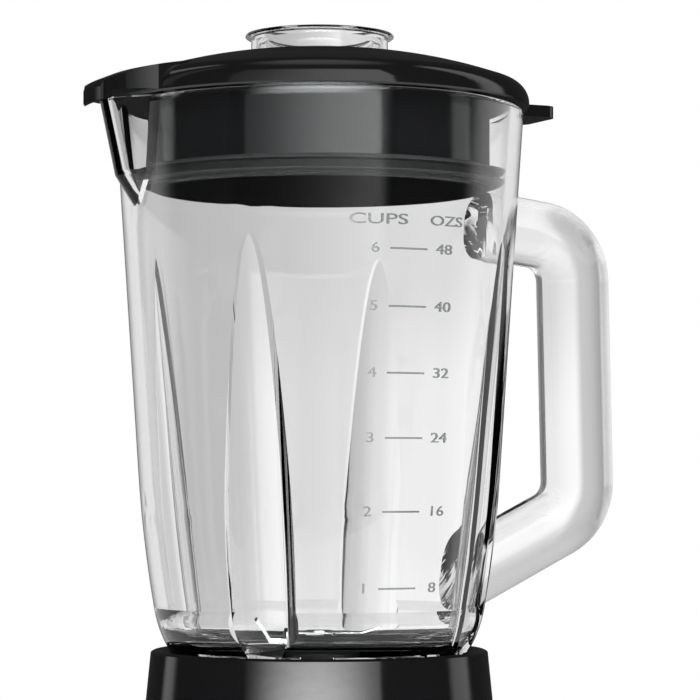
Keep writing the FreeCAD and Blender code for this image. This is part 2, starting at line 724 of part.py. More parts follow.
def make_lower_bracket():
    z = LOWER_BRACKET_Z
    parts = [
        block("lower_bar_x", 74.0, 16.0, BRACKET_THICK, -37.0, -8.0, z),
        block("lower_bar_a", 10.0, 57.0, BRACKET_THICK, 26.0, -28.5, z),
        block("lower_bar_b", 10.0, 57.0, BRACKET_THICK, -36.0, -28.5, z),
        cylinder("lower_boss", 11.0, 8.0, z - 2.0),
    ]
    removals = [cylinder("lower_seat", BUSH_R - 1.0, 10.0, z - 3.0)]
    for number, (x, y) in enumerate(bolt_places()):
        parts.append(cylinder(f"lower_post_{number}", 4.2, S["stack_z"] - z, z, x, y))
        removals.append(cylinder(f"lower_bolt_hole_{number}", 2.0, 40.0, z - 4.0, x, y))
    return subpart("lower_bracket", cut("lower_bracket_cut", fuse("lower_bracket_blank", parts), removals))


def make_bushes():
    bore = S["shaft_r"] + S["bearing_gap"]
    subpart("upper_bearing", tube("upper_bush", BUSH_R, bore, 8.0, UPPER_BRACKET_Z))
    subpart("lower_bearing", tube("lower_bush", BUSH_R - 1.0, bore, 8.0, LOWER_BRACKET_Z - 2.0))


def make_through_bolts():
    bolts = []
    length = UPPER_BRACKET_Z + BRACKET_THICK - LOWER_BRACKET_Z
    for number, (x, y) in enumerate(bolt_places()):
        bolts.append(screw(f"through_bolt_{number}", 2.0, 3.6, 2.4, length, x, y, LOWER_BRACKET_Z))
    return subpart("through_bolts", group("through_bolt_set", bolts))


def make_motor_mounts():
    """Rubber grommets between the upper bracket's ears and the housing, and their screws."""
    grommets = []
    screws = []
    for number, angle in enumerate(MOUNT_ANGLES):
        x, y = on_circle(S["mount_ring_r"].value, angle)
        grommets.append(tube(f"grommet_{number}", 5.6, 2.0, GROMMET_HEIGHT, GROMMET_Z, x, y))
        screws.append(screw(f"mount_screw_{number}", 2.0, 4.0, 2.4, 11.0, x, y, UPPER_BRACKET_Z))
    subpart("motor_grommets", group("grommet_set", grommets))
    subpart("mounting_screws", group("mount_screw_set", screws))


BRUSH_Z = 31.0
BRUSH_HEIGHT = 7.0
BRUSH_WIDTH = 6.0
BRUSH_LENGTH = 11.0


def make_brush_gear():
    """Two carbon brushes in brass holders, each pressed on by a small coil spring."""
    start = S["commutator_r"] + 0.05
    holders, brushes, springs = [], [], []
    foot_z = LOWER_BRACKET_Z + BRACKET_THICK
    for side, angle in enumerate((0.0, 180.0)):
        outer = spoke(f"holder_outer_{side}", 14.0, 18.0, BRUSH_WIDTH + 2.4, BRUSH_HEIGHT + 2.4,
                      BRUSH_Z - 1.2, angle)
        channel = spoke(f"holder_channel_{side}", 13.0, 17.6, BRUSH_WIDTH, BRUSH_HEIGHT, BRUSH_Z, angle)
        foot = spoke(f"holder_foot_{side}", 18.0, 10.0, BRUSH_WIDTH, BRUSH_Z - 1.2 - foot_z, foot_z, angle)
        holders.append(cut(f"holder_{side}", fuse(f"holder_solid_{side}", [outer, foot]), [channel]))
        brushes.append(spoke(f"brush_{side}", start, BRUSH_LENGTH, BRUSH_WIDTH, BRUSH_HEIGHT, BRUSH_Z, angle))
        reach = start.value + BRUSH_LENGTH
        turn = Rotation(Vector(0, 0, 1), angle).multiply(Rotation(Vector(0, 1, 0), 90))
        seat = Rotation(Vector(0, 0, 1), angle).multVec(Vector(reach, 0, BRUSH_Z + BRUSH_HEIGHT / 2))
        springs.append(own_shape(f"brush_coil_{side}", coil_spring("brush", 2.3, 0.3, 30.6 - reach, 5),
                                 Placement(seat, turn)))
    subpart("brush_holders", group("holder_set", holders))
    subpart("carbon_brushes", group("brush_set", brushes))
    subpart("brush_springs", group("brush_spring_set", springs))


# ---------------------------------------------------------------- rotor

FAN_Z = 8.6
SHAFT_LOW_Z = 8.0
SLOT_COUNT = 12


def make_shaft():
    top = S["star_top_z"] - 2.0
    return subpart("motor_shaft", cylinder("shaft", S["shaft_r"], top - SHAFT_LOW_Z, SHAFT_LOW_Z))


def armature_slots(name, inner, outer, width, height, z):
    return [spoke(f"{name}_{number}", inner, outer - inner, width, height, z, angle)
            for number, angle in enumerate(around(SLOT_COUNT))]


def make_armature():
    z, length = S["stack_z"], S["stack_len"]
    stack = tube("armature_stack", S["armature_r"], S["shaft_r"], length, z)
    slots = armature_slots("armature_slot", 13.0, 24.0, 3.0, length + 2, z - 1)
    subpart("armature_core", cut("armature_cut", stack, slots))
    bars = armature_slots("armature_bar", 13.0, 21.0, 3.0, length, z)
    lower = tube("winding_lower", 20.0, 9.0, 4.6, z - 4.6)
    upper = tube("winding_upper", 20.0, 9.0, 4.6, z + length)
    subpart("armature_winding", fuse("winding", bars + [lower, upper]))


def make_commutator():
    drum = tube("commutator_drum", S["commutator_r"], S["shaft_r"], 13.0, 29.5)
    slits = [spoke(f"commutator_slit_{number}", 9.6, 3.0, 0.5, 10.0, 29.0, angle)
             for number, angle in enumerate(around(24, 7.5))]
    return subpart("commutator", cut("commutator_cut", drum, slits))


def make_fan():
    hub = cylinder("fan_hub", 9.0, 7.6, FAN_Z)
    disc = cylinder("fan_disc", 34.0, 1.4, FAN_Z + 6.2)
    blades = [spoke(f"fan_blade_{number}", 8.0, 25.0, 1.4, 6.6, FAN_Z, angle)
              for number, angle in enumerate(around(11))]
    bore = cylinder("fan_bore", S["shaft_r"], 10.0, FAN_Z - 1)
    return subpart("cooling_fan", cut("fan_cut", fuse("fan_solid", [hub, disc] + blades), [bore]))


STAR_TEETH = 6


def star_prism(name, grow, height, z):
    """Six-toothed drive star; `grow` widens it all round for the socket."""
    parts = [cylinder(name + "_core", S["star_root_r"] + grow, height, z)]
    for number, angle in enumerate(around(STAR_TEETH // 2)):
        bar = block_across(f"{name}_bar_{number}", S["star_r"] + grow, 4.2 + 2 * grow, height, z, angle)
        parts.append(bar)
    return fuse(name, parts)


def block_across(name, reach, width, height, z, angle):
    """A bar through the axis, `reach` long each way."""
    turn = Rotation(Vector(0, 0, 1), angle)
    corner = turn.multVec(Vector(-value_of(reach), -value_of(width) / 2, 0))
    return block(name, reach * 2, width, height, corner.x, corner.y, z, turn)


def make_drive_coupling():
    base_z = S["well_floor_z"] + 1.8
    height = S["star_top_z"] - base_z
    star = star_prism("drive_star", 0.0, height, base_z)
    bore = cylinder("drive_bore", S["shaft_r"], height, base_z - 2.0)
    return subpart("drive_coupling", cut("drive_cut", star, [bore]))


def make_slinger():
    """Washer under the drive star that throws drips away from the shaft."""
    return subpart("shaft_slinger", tube("slinger", 13.0, S["shaft_r"], 1.2, S["well_floor_z"] + 0.6))


# ---------------------------------------------------------------- collar and blade unit

def make_collar():
    """Screw ring: it holds the blade unit against the glass and stands in the base's well."""
    inner = S["neck_r"] + S["thread_gap"]
    outline = [
        (inner - 4.4, S["lip_z"]),
        (inner - 1.4, S["seat_z"] + 4.0),
        (inner - 1.4, S["seat_z"]),
        (S["collar_r"] - 1.0, S["seat_z"]),
        (S["collar_r"], S["seat_z"] + 1.0),
        (S["collar_r"], S["collar_top_z"] - 1.0),
        (S["collar_r"] - 1.0, S["collar_top_z"]),
        (inner, S["collar_top_z"]),
        (inner, S["flange_z"]),
        (inner - 4.4, S["flange_z"]),
    ]
    ring = turned("collar_ring", outline)
    removals = []
    notch_z, knurl_r = S["seat_z"] - 1.0, S["collar_r"].value - 0.5
    for number, angle in enumerate(LUG_ANGLES):
        removals.append(spoke(f"collar_notch_{number}", 46.4, 4.0, LUG_WIDTH + 1.0, 10.6, notch_z, angle))
    for number, angle in enumerate(around(48, 3.75)):
        removals.append(spoke(f"collar_knurl_{number}", knurl_r, 2.0, 1.6, 20.0, 118.0, angle))
    return subpart("jar_collar", cut("collar_cut", ring, removals))


BUSH_BORE_R = 4.0
BOSS_LOW_Z = 121.5


def make_blade_holder():
    """Plug that closes the jar's neck, with a boss for the blade shaft's bushes."""
    bore = S["neck_bore_r"] - 0.5
    hub = S["hub_z"]
    bush = BUSH_BORE_R + 3.0
    outline = [
        (bush, S["flange_z"]),
        (bush + 4.0, S["flange_z"]),
        (bush + 4.5, hub - 7.5),
        (bore - 3.5, hub - 10.5),
        (bore - 3.0, S["flange_z"]),
        (S["neck_r"] - 0.4, S["flange_z"]),
        (S["neck_r"] - 0.4, S["gasket_z"]),
        (bore, S["gasket_z"]),
        (bore, hub - 3.4, 6.0),
        (bore - 3.5, hub - 2.6),
        (bush + 6.0, hub),
        (bush, hub),
    ]
    return subpart("blade_holder", turned("holder", outline))


def make_gasket():
    low = S["gasket_z"]
    ring = tube("gasket", S["neck_r"] - 0.4, S["neck_bore_r"] - 0.5, S["neck_z"] - low, low)
    return subpart("jar_gasket", ring)


def make_blade_bushes():
    bore = BUSH_BORE_R + S["bearing_gap"]
    outer = BUSH_BORE_R + 3.0
    lower = tube("blade_bush_lower", outer, bore, 9.0, BOSS_LOW_Z)
    upper = tube("blade_bush_upper", outer, bore, 9.0, S["hub_z"] - 14.0)
    subpart("blade_bushes", group("blade_bush_set", [lower, upper]))
    subpart("shaft_seal", tube("seal", outer, bore, 3.4, S["hub_z"] - 4.2))


CUTTER_Z = 150.2
BLADE_THICK = 1.5


def blade_shape(thick, reach, width, tip_width, rise, flat):
    """One two-armed blade: flat in the middle, its tips bent by `rise` degrees."""
    arms = []
    for turn in (0.0, 180.0):
        outline = [Vector(0, -width / 2, 0), Vector(flat, -width / 2, 0), Vector(flat, width / 2, 0),
                   Vector(0, width / 2, 0)]
        middle = Part.Face(Part.makePolygon(outline + [outline[0]])).extrude(Vector(0, 0, thick))
        span = reach - flat
        tip = [Vector(0, -width / 2, 0), Vector(span * 0.94, -tip_width / 2, 0),
               Vector(span, tip_width / 3, 0), Vector(span * 0.9, tip_width / 2, 0),
               Vector(0, width / 2, 0)]
        blade = Part.Face(Part.makePolygon(tip + [tip[0]])).extrude(Vector(0, 0, thick))
        blade.rotate(Vector(0, 0, 0), Vector(0, 1, 0), -rise)
        blade.translate(Vector(flat, 0, 0))
        arm = middle.fuse(blade)
        arm.rotate(Vector(0, 0, 0), Vector(0, 0, 1), turn)
        arms.append(arm)
    whole = arms[0].fuse(arms[1]).removeSplitter()
    hole = Part.makeCylinder(BUSH_BORE_R - 1.0, thick * 4, Vector(0, 0, -thick))
    return whole.cut(hole)


def make_cutter():
    """Blade shaft with two crossed blades, their washers and a cap nut."""
    shaft_low = S["socket_z"] + 10.0
    journal = cylinder("blade_journal", BUSH_BORE_R, S["hub_z"] - shaft_low, shaft_low)
    stem = cylinder("blade_stem", BUSH_BORE_R - 1.0, 157.6 - value_of(shaft_low), shaft_low)
    subpart("blade_shaft", fuse("blade_shaft_solid", [journal, stem]))
    lower_z = CUTTER_Z + 1.2
    upper_z = lower_z + BLADE_THICK + 0.8
    lower = blade_shape(BLADE_THICK, 27.0, 11.0, 6.0, 14.0, 12.0)
    upper = blade_shape(BLADE_THICK, 25.5, 10.0, 5.0, 48.0, 15.0)
    for name, shape, z, turn in (("lower_blade", lower, lower_z, 62), ("upper_blade", upper, upper_z, -22)):
        seat = Placement(Vector(0, 0, z), Rotation(Vector(0, 0, 1), turn))
        subpart(name, own_shape(name + "_metal", shape, seat))
    washers = [
        tube("washer_low", 6.5, BUSH_BORE_R - 1.0, 1.2, CUTTER_Z),
        tube("washer_mid", 5.0, BUSH_BORE_R - 1.0, 0.8, lower_z + BLADE_THICK),
    ]
    subpart("blade_washers", group("washer_set", washers))
    nut_z = upper_z + BLADE_THICK
    nut = cylinder("nut_body", 5.4, 2.2, nut_z)
    crown = doc.addObject("Part::Cone", "nut_crown")
    crown.Radius1, crown.Radius2, crown.Height = 5.4, 3.6, 1.2
    place(crown, 0, 0, nut_z + 2.2)
    nut_bore = cylinder("nut_bore", BUSH_BORE_R - 1.0, 157.6 - nut_z, nut_z)
    subpart("cap_nut", cut("nut_cut", fuse("nut_solid", [nut, crown]), [nut_bore]))


def make_jar_coupling():
    """Socket on the blade shaft that drops over the drive star."""
    low = S["socket_z"]
    body = cylinder("socket_body", 14.0, 17.0, low)
    cavity = star_prism("socket_star", 0.35, 15.0, low - 5.0)
    bore = cylinder("socket_bore", BUSH_BORE_R, 10.0, low + 10.0)
    ribs = [spoke(f"socket_rib_{number}", 13.0, 2.0, 2.0, 17.0, low, angle)
            for number, angle in enumerate(around(12))]
    return subpart("jar_coupling", cut("socket_cut", fuse("socket_solid", [body] + ribs), [cavity, bore]))


# ---------------------------------------------------------------- glass jar

def wall_outline(inset):
    """Outer corners of the jar from its heel to its rim, moved in by `inset`."""
    return [
        (S["jar_foot_r"] - inset, S["jar_foot_z"], 43.0),
        (S["jar_heel_r"] - inset, S["jar_heel_z"], 437.0),
        (S["jar_waist_r"] - inset, S["jar_waist_z"]),
    ]


def make_flutes(name, grow):
    """Four leaning rods that press the flutes into the glass."""
    depth_r = S["jar_rim_r"].value - (S["jar_rim_z"].value - S["flute_top_z"].value) * 0.0661
    axis_r = depth_r + S["flute_r"].value
    lean = S["flute_lean"].value
    length = 190.0
    rods = []
    for number, angle in enumerate(around(4, 45.0)):
        x, y = on_circle(axis_r, angle)
        tilt = Rotation(Vector(0, 0, 1), angle).multiply(Rotation(Vector(0, 1, 0), 180 + lean))
        rods.append(cylinder(f"{name}_{number}", S["flute_r"] + grow, length, S["flute_top_z"] + 20.0,
                             x * (1 + 20.0 * math.tan(math.radians(lean)) / axis_r),
                             y * (1 + 20.0 * math.tan(math.radians(lean)) / axis_r), tilt))
    return rods


SPOUT_BLUNT = 2.6
SPOUT_WALL = 2.8


def spout_wedge(name, inset, low, high):
    """V-shaped beak with plane sides and a rounded nose, its underside closing in to the wall."""
    half = math.radians(S["spout_half_angle"].value)
    bend_z = S["spout_bend_z"].value + low - S["spout_low_z"].value
    shift = SPOUT_BLUNT / 2 - inset / math.sin(half)
    back = 58.0 - inset * 2.0

    def section(z, nose_r):
        tip = nose_r + shift
        spread = (tip - back) * math.tan(half)
        shoulder = SPOUT_BLUNT * math.tan(half)
        corners = [Vector(-back, -spread, z), Vector(-tip + SPOUT_BLUNT, -shoulder, z),
                   Vector(-tip + SPOUT_BLUNT, shoulder, z), Vector(-back, spread, z)]
        nose = Part.Arc(corners[1], Vector(-tip + SPOUT_BLUNT / 2, 0, z), corners[2]).toShape()
        sides = [Part.makeLine(corners[0], corners[1]), nose, Part.makeLine(corners[2], corners[3])]
        return Part.Wire(sides + [Part.makeLine(corners[3], corners[0])])

    sections = [section(low, S["spout_low_r"].value), section(bend_z, S["spout_bend_r"].value),
                section(high, S["spout_tip_r"].value)]
    return own_shape(name, Part.makeLoft(sections, True, True))


def handle_path():
    """Middle line of the handle: three straight runs joined by two bends."""
    corners = [
        Vector(S["handle_root_r"].value, 0, S["handle_top_z"].value),
        Vector(S["grip_r"].value, 0, S["grip_top_z"].value),
        Vector(S["grip_low_r"].value, 0, S["grip_low_z"].value),
        Vector(S["handle_low_root_r"].value, 0, S["handle_low_z"].value),
    ]
    bend = S["handle_bend_r"].value
    edges = []
    start = corners[0]
    for before, corner, after in zip(corners, corners[1:], corners[2:]):
        into = (corner - before).normalize()
        out = (after - corner).normalize()
        turn = into.getAngle(out)
        setback = bend * math.tan(turn / 2)
        first = corner - into * setback
        last = corner + out * setback
        inward = (out - into).normalize()
        middle = corner + inward * (bend / math.cos(turn / 2) - bend)
        edges.append(Part.makeLine(start, first))
        edges.append(Part.Arc(first, middle, last).toShape())
        start = last
    edges.append(Part.makeLine(start, corners[-1]))
    return Part.Wire(edges)


def rounded_section(centre, across, along, width, thick, corner):
    """Rounded rectangle round `centre`: `across` spans the width and `along` the thickness."""
    half_w, half_t = width / 2 - corner, thick / 2 - corner
    reach = corner * math.sqrt(0.5)
    edges = []
    starts = []
    for sw, st in ((1, 1), (-1, 1), (-1, -1), (1, -1)):
        hub = centre + across * (sw * half_w) + along * (st * half_t)
        side, end = hub + across * (sw * corner), hub + along * (st * corner)
        middle = hub + across * (sw * reach) + along * (st * reach)
        first, last = (side, end) if sw * st > 0 else (end, side)
        starts.append((first, last))
        edges.append(Part.Arc(first, middle, last).toShape())
    joined = []
    for number in range(4):
        joined.append(edges[number])
        joined.append(Part.makeLine(starts[number][1], starts[(number + 1) % 4][0]))
    return Part.Wire(joined)


def make_handle():
    path = handle_path()
    first = path.Edges[0]
    along = first.tangentAt(first.FirstParameter)
    across = Vector(0, 1, 0)
    section = rounded_section(path.Edges[0].Vertexes[0].Point, across, along.cross(across).normalize(),
                              S["handle_width"].value, S["handle_thick"].value, 9.5)
    return own_shape("handle_bar", path.makePipeShell([section], True, True))


def make_jar():
    """One piece of pressed glass: wall, fluted sides, spout, handle, floor and threaded neck."""
    wall = S["jar_wall"]
    rim_r, rim_z = S["jar_rim_r"], S["jar_rim_z"]
    outer = turned("jar_outer", [
        (0, S["neck_z"]),
        (S["neck_r"] - 1.0, S["neck_z"]),
        (S["neck_r"], S["neck_z"] + 1.0),
        (S["neck_r"], S["shoulder_z"] - 1.5),
        (S["neck_r"] + 2.0, S["shoulder_z"]),
        (S["jar_foot_r"] - 4.0, S["shoulder_z"], 6.0),
    ] + wall_outline(0.0) + [
        (rim_r, rim_z - 1.5, 1.5),
        (rim_r - 1.5, rim_z),
        (0, rim_z),
    ])
    floor_z = S["hub_z"] + 2.0
    cavity = turned("jar_cavity", [
        (0, floor_z),
        (S["neck_bore_r"], floor_z),
        (S["jar_foot_r"] - 7.0, floor_z + 2.6, 9.0),
        (S["jar_heel_r"] - wall, S["jar_heel_z"] + 1.0, 437.0),
        (S["jar_waist_r"] - wall, S["jar_waist_z"]),
        (rim_r - wall, rim_z - 1.2),
        (rim_r - wall + 1.0, rim_z + 0.2),
        (0, rim_z + 0.2),
    ])
    neck_bore = cylinder("neck_bore", S["neck_bore_r"], 40.0, S["neck_z"] - 1.0)
    low, high = S["spout_low_z"].value, rim_z.value
    beak = spout_wedge("spout_outer", 0.0, low, high)
    channel = spout_wedge("spout_channel", SPOUT_WALL, low + 2.0, high + 1.0)
    blank = fuse("jar_blank", [cut("jar_fluted", outer, make_flutes("flute", 0.0)), beak, make_handle()])
    hollow = cut("jar_hollow", cavity, make_flutes("flute_rib", S["jar_wall"]))
    return subpart("glass_jar", cut("jar_glass", blank, [hollow, neck_bore, channel]))


# ---------------------------------------------------------------- lid and measuring cap

def make_lid():
    """Lid with a deep plug, a cover over the spout and a lifting tab."""
    under, wall = S["lid_under_z"], S["lid_wall"]
    land, hole = S["lid_land_z"], S["lid_hole_r"]
    crease_r, crease_z = S["lid_crease_r"], S["lid_crease_z"]
    plug, plug_z = S["plug_r"], S["plug_z"]
    shell = turned("lid_shell", [
        (hole, land),
        (hole, land - 16.0),
        (hole + 2.0, land - 16.0),
        (hole + 2.4, land - wall),
        (hole + 6.0, land - wall, -180.0),
        (plug - wall, crease_z + 1.6),
        (plug - wall, plug_z),
        (plug - 0.6, plug_z),
        (plug, plug_z + 0.8),
        (plug, under),
        (S["lid_r"] - 0.6, under),
        (S["lid_r"], under + 0.6),
        (S["lid_r"], under + 1.4, 8.0),
        (crease_r, crease_z, 178.0),
        (S["cap_flange_r"] + 1.0, land),
    ])
    half_w = S["spout_cover_half_w"].value
    cover_body = turned("cover_body", [
        (plug - 5.0, under),
        (S["spout_tip_r"] + 1.8, under + 1.0),
        (S["spout_tip_r"] + 1.8, under - 1.8),
        (S["spout_cover_r"], under - 1.8),
        (S["spout_cover_r"], under + 2.6, 5.0),
        (S["spout_cover_r"] - 2.8, under + 6.0),
        (S["spout_cover_r"] - 8.6, under + 8.4, 120.0),
        (plug - 5.0, land - 6.8),
    ])
    plan = padded("cover_plan", [
        (-52.0, -half_w),
        (-52.0, half_w),
        (-70.0, half_w, 20.0),
        (-84.0, 9.0, 11.0),
        (-84.0, -9.0, 20.0),
        (-70.0, -half_w),
    ], 30.0, under - 4.0)
    hood = overlap("spout_hood", [cover_body, plan])
    end = S["tab_r"].value
    half_tab = S["tab_half_w"].value
    tab = padded("tab_plate", [
        (68.0, -half_tab),
        (end - 5.0, -half_tab, 5.0),
        (end, -half_tab + 5.0),
        (end, half_tab - 5.0, 5.0),
        (end - 5.0, half_tab),
        (68.0, half_tab),
    ], 4.2, under + 0.4)
    return subpart("lid", fuse("lid_solid", [shell, hood, tab]))


def make_lid_seal():
    """Soft sleeve round the plug with two thin lips that wipe the glass."""
    plug = S["plug_r"]

    def lip_end(z):
        share = (z - S["jar_waist_z"].value) / (S["jar_rim_z"].value - S["jar_waist_z"].value)
        outer = S["jar_waist_r"].value + share * (S["jar_rim_r"].value - S["jar_waist_r"].value)
        return outer - S["jar_wall"].value - S["lip_reach"].value

    low_z, high_z = 312.2, 315.8
    return subpart("lid_seal", turned("lid_seal_ring", [
        (plug, low_z - 1.2),
        (plug + 1.0, low_z - 1.2),
        (plug + 1.0, low_z - 0.3),
        (lip_end(low_z), low_z),
        (lip_end(low_z), low_z + 0.5),
        (plug + 1.0, low_z + 0.8),
        (plug + 1.0, high_z - 0.3),
        (lip_end(high_z), high_z),
        (lip_end(high_z), high_z + 0.5),
        (plug + 1.0, high_z + 0.8),
        (plug + 1.0, high_z + 1.8),
        (plug, high_z + 1.8),
    ]))


def make_cap():
    """Clear cup that hangs in the lid's opening by its skirt."""
    top, wall = S["cap_top_z"], S["cap_wall"]
    cup, cup_low, low = S["cap_cup_r"], S["cap_cup_low_r"], S["cap_low_z"]
    flange, skirt = S["cap_flange_r"], S["cap_skirt_r"]
    land = S["lid_land_z"]
    return subpart("measuring_cap", turned("cap_cup", [
        (0, low),
        (cup_low - 2.0, low, 2.5),
        (cup_low, low + 2.0),
        (cup - 1.0, land - 1.0),
        (cup, top - 4.0),
        (skirt - wall, top - 2.4),
        (skirt - wall, land + 0.3),
        (skirt, land + 0.3),
        (skirt, top - 1.1),
        (flange - 0.3, top - 1.1),
        (flange, top - 0.8),
        (flange, top - 0.3),
        (flange - 0.3, top),
        (cup - wall + 0.4, top),
        (cup - wall - 0.6, top - 1.0),
        (cup - wall - 2.0, land - 2.0),
        (cup_low - wall, low + 4.0, -3.0),
        (cup_low - wall - 2.4, low + wall),
        (0, low + wall),
    ]))


# ---------------------------------------------------------------- assembly

def write_parts():
    """Check every object and sub-part, then write one STEP file for each sub-part."""
    doc.recompute()
    faults = [obj.Name for obj in doc.Objects if "Invalid" in obj.State or "Error" in obj.State]
    if faults:
        raise RuntimeError("objects that failed: " + ", ".join(faults))
    for label, obj in SUBPARTS.items():
        if obj.Shape.isNull() or not obj.Shape.isValid() or obj.Shape.Volume <= 0:
            raise RuntimeError(f"{label} has no valid shape")
    os.makedirs("parts", exist_ok=True)
    for label, obj in SUBPARTS.items():
        obj.Shape.exportStep(f"parts/{label}.step")
        solids = len(obj.Shape.Solids)
        print(f"{label}: {solids} solid(s), {obj.Shape.Volume / 1000:.2f} cm3")


make_housing()
make_bottom_cover()
make_feet()
make_cover_screws()
make_seat_ring()
make_gland()
make_panel()
make_dial()
make_spindle()
make_speed_switch()
make_button()
make_pulse_spring()
make_pulse_switch()
make_stator()
make_field_windings()
make_upper_bracket()
make_lower_bracket()
make_bushes()
make_through_bolts()
make_motor_mounts()
make_brush_gear()
make_shaft()
make_armature()
make_commutator()
make_fan()
make_drive_coupling()
make_slinger()
make_collar()
make_blade_holder()
make_gasket()
make_blade_bushes()
make_cutter()
make_jar_coupling()
make_jar()
make_lid()
make_lid_seal()
make_cap()
write_parts()
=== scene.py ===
import json
import math

import bmesh
import bpy
from mathutils import Matrix, Vector


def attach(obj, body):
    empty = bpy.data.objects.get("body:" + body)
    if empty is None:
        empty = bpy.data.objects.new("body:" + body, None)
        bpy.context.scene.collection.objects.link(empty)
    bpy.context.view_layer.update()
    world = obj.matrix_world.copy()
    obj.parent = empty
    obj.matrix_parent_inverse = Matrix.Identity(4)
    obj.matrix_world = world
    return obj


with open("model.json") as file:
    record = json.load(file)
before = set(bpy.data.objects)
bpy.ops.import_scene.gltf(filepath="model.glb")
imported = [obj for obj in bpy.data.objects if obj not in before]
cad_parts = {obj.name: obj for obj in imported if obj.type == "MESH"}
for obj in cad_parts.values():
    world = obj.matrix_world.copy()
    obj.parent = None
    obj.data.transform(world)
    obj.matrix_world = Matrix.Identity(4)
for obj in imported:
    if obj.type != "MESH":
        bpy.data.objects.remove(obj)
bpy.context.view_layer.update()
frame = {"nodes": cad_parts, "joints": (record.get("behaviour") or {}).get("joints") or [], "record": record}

# A countertop blender: clear pressed-glass jar, black lid, clear measuring cap and black motor base.
# Metres.  +Z is up, the controls and the jar's scale face -Y, the handle points to +X.

MM = 0.001
NODES = frame["nodes"]
scene = bpy.context.scene

# ---------------------------------------------------------------- camera

CAMERA_DISTANCE = 1.02
CAMERA_AZIMUTH = math.radians(-24.6)
CAMERA_HEIGHT = 0.211
CAMERA_PITCH = math.radians(2.47)
CAMERA_YAW = math.radians(0.60)
CAMERA_LENS = 150.2


def ground_direction(azimuth):
    """Unit vector on the floor from the jar's axis towards an azimuth; 0 is the front."""
    return Vector((math.sin(azimuth), -math.cos(azimuth), 0.0))


def make_camera():
    data = bpy.data.cameras.new("camera")
    data.lens = CAMERA_LENS
    data.clip_end = 50.0
    camera = bpy.data.objects.new("camera", data)
    scene.collection.objects.link(camera)
    camera.location = ground_direction(CAMERA_AZIMUTH) * CAMERA_DISTANCE + Vector((0, 0, CAMERA_HEIGHT))
    forward = -ground_direction(CAMERA_AZIMUTH)
    forward = Matrix.Rotation(-CAMERA_YAW, 3, "Z") @ forward
    forward = forward * math.cos(CAMERA_PITCH) + Vector((0, 0, math.sin(CAMERA_PITCH)))
    camera.rotation_euler = forward.to_track_quat("-Z", "Y").to_euler()
    scene.camera = camera


# ---------------------------------------------------------------- node helpers

class Graph:
    """Short names for building a node tree."""

    def __init__(self, tree):
        self.tree = tree
        tree.nodes.clear()

    def add(self, kind, **settings):
        node = self.tree.nodes.new(kind)
        for name, value in settings.items():
            setattr(node, name, value)
        return node

    def link(self, source, target):
        self.tree.links.new(source, target)

    def math(self, operation, first, second=None, clamp=False):
        node = self.add("ShaderNodeMath", operation=operation, use_clamp=clamp)
        for socket, value in zip(node.inputs, (first, second)):
            if value is None:
                continue
            if isinstance(value, (int, float)):
                socket.default_value = value
            else:
                self.link(value, socket)
        return node.outputs[0]

    def ramp(self, value, low, high, out_low=0.0, out_high=1.0):
        node = self.add("ShaderNodeMapRange", interpolation_type="SMOOTHSTEP")
        self.link(value, node.inputs["Value"])
        node.inputs["From Min"].default_value = low
        node.inputs["From Max"].default_value = high
        node.inputs["To Min"].default_value = out_low
        node.inputs["To Max"].default_value = out_high
        return node.outputs["Result"]


# ---------------------------------------------------------------- light

BACKDROP_WHITE = 1.0
ROOM_DARK = 0.03
FRONT_AZIMUTH = -29.0


def studio_panel(graph, azimuth, elevation, centre, half, edge, low, high):
    """How far a direction lies inside one soft panel of the studio, 0 to 1, and its offset from the middle.

    centre, half and edge are degrees of azimuth; low and high are degrees of elevation.
    """
    turned = graph.math("SUBTRACT", azimuth, math.radians(centre))
    offset = graph.math("WRAP", turned, math.pi)
    offset.node.inputs[2].default_value = -math.pi
    away = graph.math("ABSOLUTE", offset)
    across = graph.ramp(away, math.radians(half - edge), math.radians(half + edge), 1.0, 0.0)
    above = graph.ramp(elevation, math.radians(low - 4), math.radians(low + 4))
    below = graph.ramp(elevation, math.radians(high - 4), math.radians(high + 4), 1.0, 0.0)
    return graph.math("MULTIPLY", graph.math("MULTIPLY", across, above), below), offset


def blend_value(graph, factor, first, second):
    mix = graph.add("ShaderNodeMix", data_type="FLOAT")
    for name, value in (("Factor", factor), ("A", first), ("B", second)):
        if isinstance(value, float):
            mix.inputs[name].default_value = value
        else:
            graph.link(value, mix.inputs[name])
    return mix.outputs["Result"]


def total(graph, values):
    result = values[0]
    for value in values[1:]:
        result = graph.math("ADD", result, value)
    return result


def opaque_surroundings(graph, azimuth, elevation, path):
    """Dark room with soft panels, for plastic and metal; its front panel is stronger behind glass."""
    front, offset = studio_panel(graph, azimuth, elevation, FRONT_AZIMUTH, 45.5, 1.6, -35, 48)
    shade = graph.ramp(offset, math.radians(-46), math.radians(24), 0.22, 1.35)
    behind_glass = graph.math("MINIMUM", path.outputs["Transmission Depth"], 1.0)
    gain = graph.math("ADD", graph.math("MULTIPLY", behind_glass, 1.4), 1.0)
    front = graph.math("MULTIPLY", graph.math("MULTIPLY", front, shade), gain)
    right_back, _ = studio_panel(graph, azimuth, elevation, 84.0, 10.0, 4.0, -40, 60)
    left_back, _ = studio_panel(graph, azimuth, elevation, -144.5, 6.5, 4.0, -40, 60)
    far_left, _ = studio_panel(graph, azimuth, elevation, -118.0, 5.0, 4.0, 10, 60)
    top = graph.ramp(elevation, math.radians(66), math.radians(82), 0.0, 0.5)
    parts = [graph.math("MULTIPLY", panel, strength)
             for panel, strength in ((right_back, 0.8), (left_back, 0.75), (far_left, 0.2))]
    return total(graph, [front, top] + parts + [ROOM_DARK])


